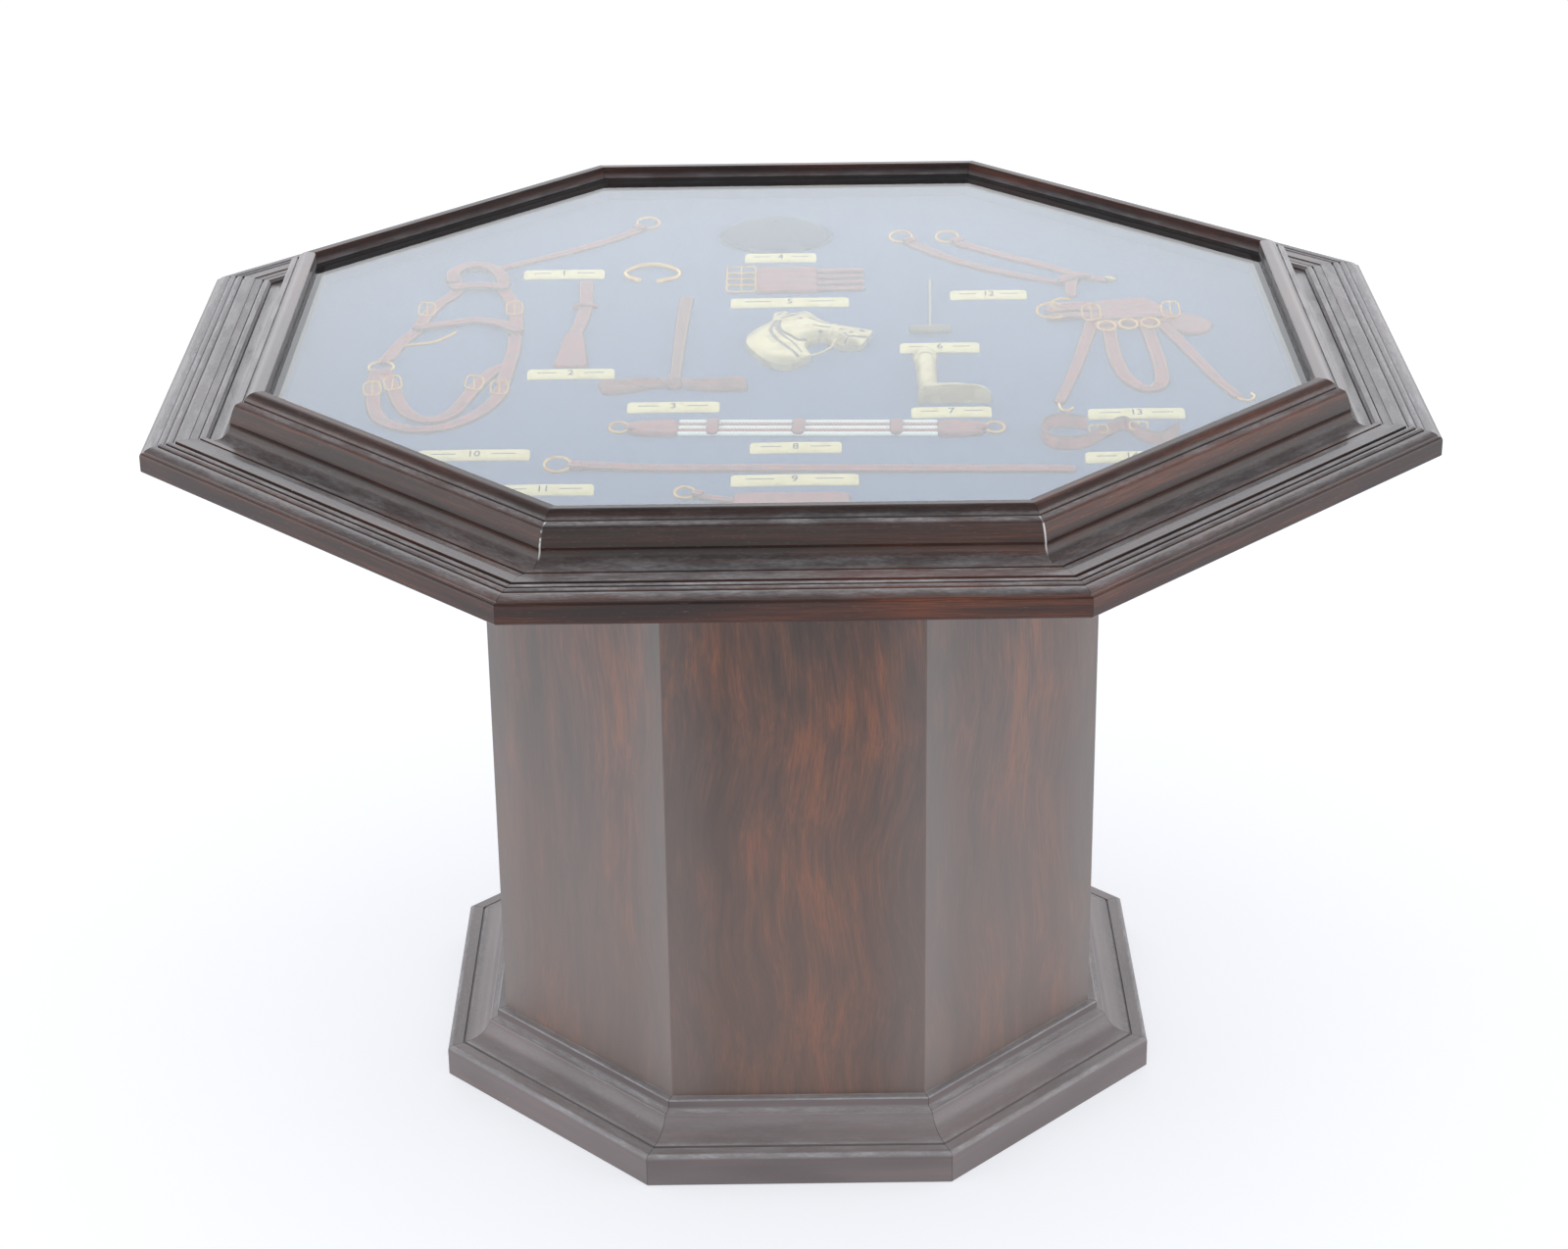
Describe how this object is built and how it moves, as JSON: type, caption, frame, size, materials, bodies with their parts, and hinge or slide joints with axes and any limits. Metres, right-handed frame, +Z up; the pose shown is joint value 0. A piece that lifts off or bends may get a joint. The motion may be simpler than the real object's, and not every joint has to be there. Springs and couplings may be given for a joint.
{
  "type": "octagonal side table",
  "caption": "Low octagonal table on a hollow octagonal column and moulded plinth, its top a glazed display case of miniature riding tack in a raised mitred frame.",
  "frame": {"origin": "on the floor, under the middle of the column", "axes": "+Z up, front flat of the octagon towards -Y, +X to the right seen from the front"},
  "size_m": [0.8, 0.8, 0.516],
  "materials": {
    "mahogany": "worn satin varnish over dark red-brown veneer",
    "board_wood": "unfinished board",
    "navy_cloth": "matt woven cloth",
    "glass": "clear, polished",
    "leather": "smooth, faded",
    "cord": "matt cord",
    "brass": "satin, slightly tarnished",
    "helmet_cloth": "matt",
    "cane": "matt",
    "label": "matt cream"
  },
  "bodies": {
    "root": {"frame_rail_front": "mahogany", "frame_rail_front_right": "mahogany", "frame_rail_right": "mahogany", "frame_rail_back_right": "mahogany", "frame_rail_back": "mahogany", "frame_rail_back_left": "mahogany", "frame_rail_left": "mahogany", "frame_rail_front_left": "mahogany", "ledge_rail_front": "mahogany", "ledge_rail_front_right": "mahogany", "ledge_rail_right": "mahogany", "ledge_rail_back_right": "mahogany", "ledge_rail_back": "mahogany", "ledge_rail_back_left": "mahogany", "ledge_rail_left": "mahogany", "ledge_rail_front_left": "mahogany", "column_panel_front": "mahogany", "column_panel_front_right": "mahogany", "column_panel_right": "mahogany", "column_panel_back_right": "mahogany", "column_panel_back": "mahogany", "column_panel_back_left": "mahogany", "column_panel_left": "mahogany", "column_panel_front_left": "mahogany", "plinth_rail_front": "mahogany", "plinth_rail_front_right": "mahogany", "plinth_rail_right": "mahogany", "plinth_rail_back_right": "mahogany", "plinth_rail_back": "mahogany", "plinth_rail_back_left": "mahogany", "plinth_rail_left": "mahogany", "plinth_rail_front_left": "mahogany", "core_board": "board_wood", "display_board": "board_wood", "column_head_plate": "board_wood", "column_foot_plate": "board_wood", "glue_blocks": "board_wood", "spacer_fillets": "mahogany", "felt_lining": "navy_cloth", "glass_pane": "glass", "bridle_straps": "leather", "lead_rein": "leather", "whip": "leather", "bow_strap": "leather", "knee_guards": "leather", "girth_ends": "leather", "girth_cords": "cord", "surcingle_straps": "leather", "breastplate_straps": "leather", "martingale_straps": "leather", "coiled_strap": "leather", "tack_hardware": "brass", "horse_head": "brass", "boot": "brass", "spur": "brass", "riding_helmet": "helmet_cloth", "mallet": "cane", "label_plates": "label"}
  },
  "joints": []
}
